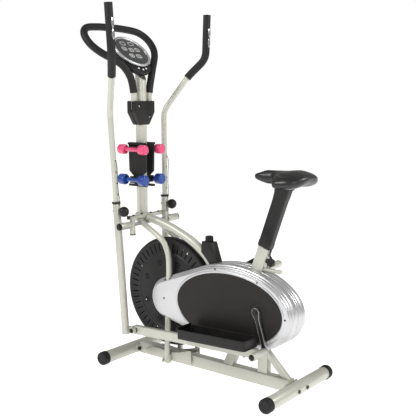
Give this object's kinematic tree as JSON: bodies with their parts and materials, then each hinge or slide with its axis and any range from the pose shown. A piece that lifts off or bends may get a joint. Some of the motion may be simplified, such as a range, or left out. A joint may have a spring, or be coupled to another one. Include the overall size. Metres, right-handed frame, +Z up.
{
  "type": "elliptical trainer",
  "caption": "Upright elliptical cross trainer with fan wheel, swing arms and pedal bars, adjustable saddle, tilted console and a dumbbell rack.",
  "frame": {"origin": "on the floor, under the centre of the object's bounding box", "axes": "+Z up; -X towards the front (console end, the way the rider faces); +X towards the saddle; -Y the rider's left; +Y the rider's right"},
  "size_m": [1.0964, 0.667, 1.5785],
  "materials": {
    "frame_paint": "gloss",
    "black_plastic": "satin",
    "black_rubber": "matte",
    "foam": "matte closed-cell foam",
    "silver_plastic": "metallic silver",
    "display": "gloss",
    "white_plastic": "gloss",
    "pink_vinyl": "gloss vinyl dip",
    "blue_vinyl": "gloss vinyl dip",
    "bare_steel": "satin",
    "black_steel": "satin",
    "saddle_vinyl": "smooth vinyl",
    "felt": "woven strap"
  },
  "bodies": {
    "frame": {"base_beam": "frame_paint", "rear_frame": "frame_paint", "stabilisers": "frame_paint", "stabiliser_caps": "black_rubber", "fasteners": "black_plastic", "fork_left": "frame_paint", "fork_right": "frame_paint", "main_tube": "frame_paint", "head_yoke": "frame_paint", "pivot_axle": "bare_steel", "front_post": "frame_paint", "boot": "black_plastic", "handlebar": "frame_paint", "handlebar_foam": "foam", "console_housing": "black_plastic", "console_bezel": "silver_plastic", "console_lens": "display", "dumbbell_racks": "black_plastic", "cover_left": "silver_plastic", "cover_right": "silver_plastic", "oval_plates": "black_plastic", "chain": "bare_steel", "bottom_bracket": "bare_steel", "brake_belt": "felt", "tension_housing": "black_plastic", "seat_tube": "frame_paint", "wheel_axle": "bare_steel"},
    "tension_knob": {"tension_knob": "black_plastic"},
    "button_left": {"button_left": "white_plastic"},
    "button_middle": {"button_middle": "white_plastic"},
    "button_right": {"button_right": "white_plastic"},
    "upper_dumbbell_left": {"upper_dumbbell_left": "pink_vinyl"},
    "upper_dumbbell_right": {"upper_dumbbell_right": "pink_vinyl"},
    "lower_dumbbell_left": {"lower_dumbbell_left": "blue_vinyl"},
    "lower_dumbbell_right": {"lower_dumbbell_right": "blue_vinyl"},
    "seat": {"seat_post": "bare_steel", "seat_sleeve": "black_plastic", "saddle": "saddle_vinyl"},
    "seat_knob": {"seat_knob": "black_plastic"},
    "crankset": {"chainring": "bare_steel", "crank_axle": "bare_steel", "crank_left": "black_steel", "crank_right": "black_steel"},
    "wheel": {"fan_wheel": "black_steel", "wheel_shells": "black_plastic"},
    "left_arm": {"lower_arm_left": "frame_paint", "pulse_lead_left": "black_plastic"},
    "right_arm": {"lower_arm_right": "frame_paint", "pulse_lead_right": "black_plastic"},
    "left_handle": {"upper_arm_left": "frame_paint", "grip_left": "foam"},
    "right_handle": {"upper_arm_right": "frame_paint", "grip_right": "foam"},
    "left_knob": {"arm_knob_left": "black_plastic"},
    "right_knob": {"arm_knob_right": "black_plastic"},
    "left_pedal": {"pedal_bar_left": "frame_paint", "foot_plate_left": "black_plastic"},
    "right_pedal": {"pedal_bar_right": "frame_paint", "foot_plate_right": "black_plastic"}
  },
  "joints": [
    {"name": "crank_turn", "type": "hinge", "parent": "frame", "child": "crankset", "pos_m": [0.3363, 0, 0.334], "axis": [0, 1, 0], "continuous": true},
    {"name": "wheel_spin", "type": "hinge", "parent": "frame", "child": "wheel", "pos_m": [-0.1727, 0, 0.329], "axis": [0, 1, 0], "continuous": true},
    {"name": "left_swing", "type": "hinge", "parent": "frame", "child": "left_arm", "pos_m": [-0.3077, 0, 0.634], "axis": [0, 1, 0], "range_deg": [-17, 19]},
    {"name": "right_swing", "type": "hinge", "parent": "frame", "child": "right_arm", "pos_m": [-0.3077, 0, 0.634], "axis": [0, 1, 0], "range_deg": [-19, 17]},
    {"name": "left_foot", "type": "hinge", "parent": "left_arm", "child": "left_pedal", "pos_m": [-0.29113, 0, 0.15425], "axis": [0, 1, 0], "range_deg": [-19, 17]},
    {"name": "right_foot", "type": "hinge", "parent": "right_arm", "child": "right_pedal", "pos_m": [-0.29741, 0, 0.15407], "axis": [0, 1, 0], "range_deg": [-17, 19]},
    {"name": "left_handle_set", "type": "slide", "parent": "left_arm", "child": "left_handle", "axis": [-0.047, -0.0297, 0.9985], "range_m": [0, 0.06]},
    {"name": "right_handle_set", "type": "slide", "parent": "right_arm", "child": "right_handle", "axis": [-0.0339, 0.0297, 0.999], "range_m": [0, 0.06]},
    {"name": "left_knob_turn", "type": "hinge", "parent": "left_arm", "child": "left_knob", "pos_m": [-0.35266, -0.1619, 0.69593], "axis": [0.9989, 0, 0.047], "range_deg": [0, 360]},
    {"name": "right_knob_turn", "type": "hinge", "parent": "right_arm", "child": "right_knob", "pos_m": [-0.35185, 0.1619, 0.69651], "axis": [0.9994, 0, 0.0339], "range_deg": [0, 360]},
    {"name": "seat_height", "type": "slide", "parent": "frame", "child": "seat", "axis": [0.3338, 0, 0.9426], "range_m": [-0.03, 0.08]},
    {"name": "seat_knob_turn", "type": "hinge", "parent": "frame", "child": "seat_knob", "pos_m": [0.31361, 0, 0.54552], "axis": [0.9426, 0, -0.3338], "range_deg": [0, 360]},
    {"name": "tension_turn", "type": "hinge", "parent": "frame", "child": "tension_knob", "pos_m": [0.0413, 0, 0.59], "axis": [0, 0, 1], "range_deg": [0, 720]},
    {"name": "button_left_press", "type": "slide", "parent": "frame", "child": "button_left", "axis": [-0.7071, 0, -0.7071], "range_m": [0, 0.0015], "stiffness_N_per_m": 400},
    {"name": "button_middle_press", "type": "slide", "parent": "frame", "child": "button_middle", "axis": [-0.7071, 0, -0.7071], "range_m": [0, 0.0015], "stiffness_N_per_m": 400},
    {"name": "button_right_press", "type": "slide", "parent": "frame", "child": "button_right", "axis": [-0.7071, 0, -0.7071], "range_m": [0, 0.0015], "stiffness_N_per_m": 400},
    {"name": "upper_dumbbell_left_out", "type": "slide", "parent": "frame", "child": "upper_dumbbell_left", "axis": [0, -1, 0], "range_m": [0, 0.05]},
    {"name": "upper_dumbbell_right_out", "type": "slide", "parent": "frame", "child": "upper_dumbbell_right", "axis": [0, 1, 0], "range_m": [0, 0.05]},
    {"name": "lower_dumbbell_left_out", "type": "slide", "parent": "frame", "child": "lower_dumbbell_left", "axis": [0, -1, 0], "range_m": [0, 0.05]},
    {"name": "lower_dumbbell_right_out", "type": "slide", "parent": "frame", "child": "lower_dumbbell_right", "axis": [0, 1, 0], "range_m": [0, 0.05]}
  ],
  "couplings": [
    {"joint": "wheel_spin", "follows": "crank_turn", "ratio": 3.1481},
    {"joint": "right_swing", "follows": "left_swing", "ratio": -1},
    {"joint": "left_foot", "follows": "left_swing", "ratio": -1},
    {"joint": "right_foot", "follows": "left_swing", "ratio": 1}
  ]
}
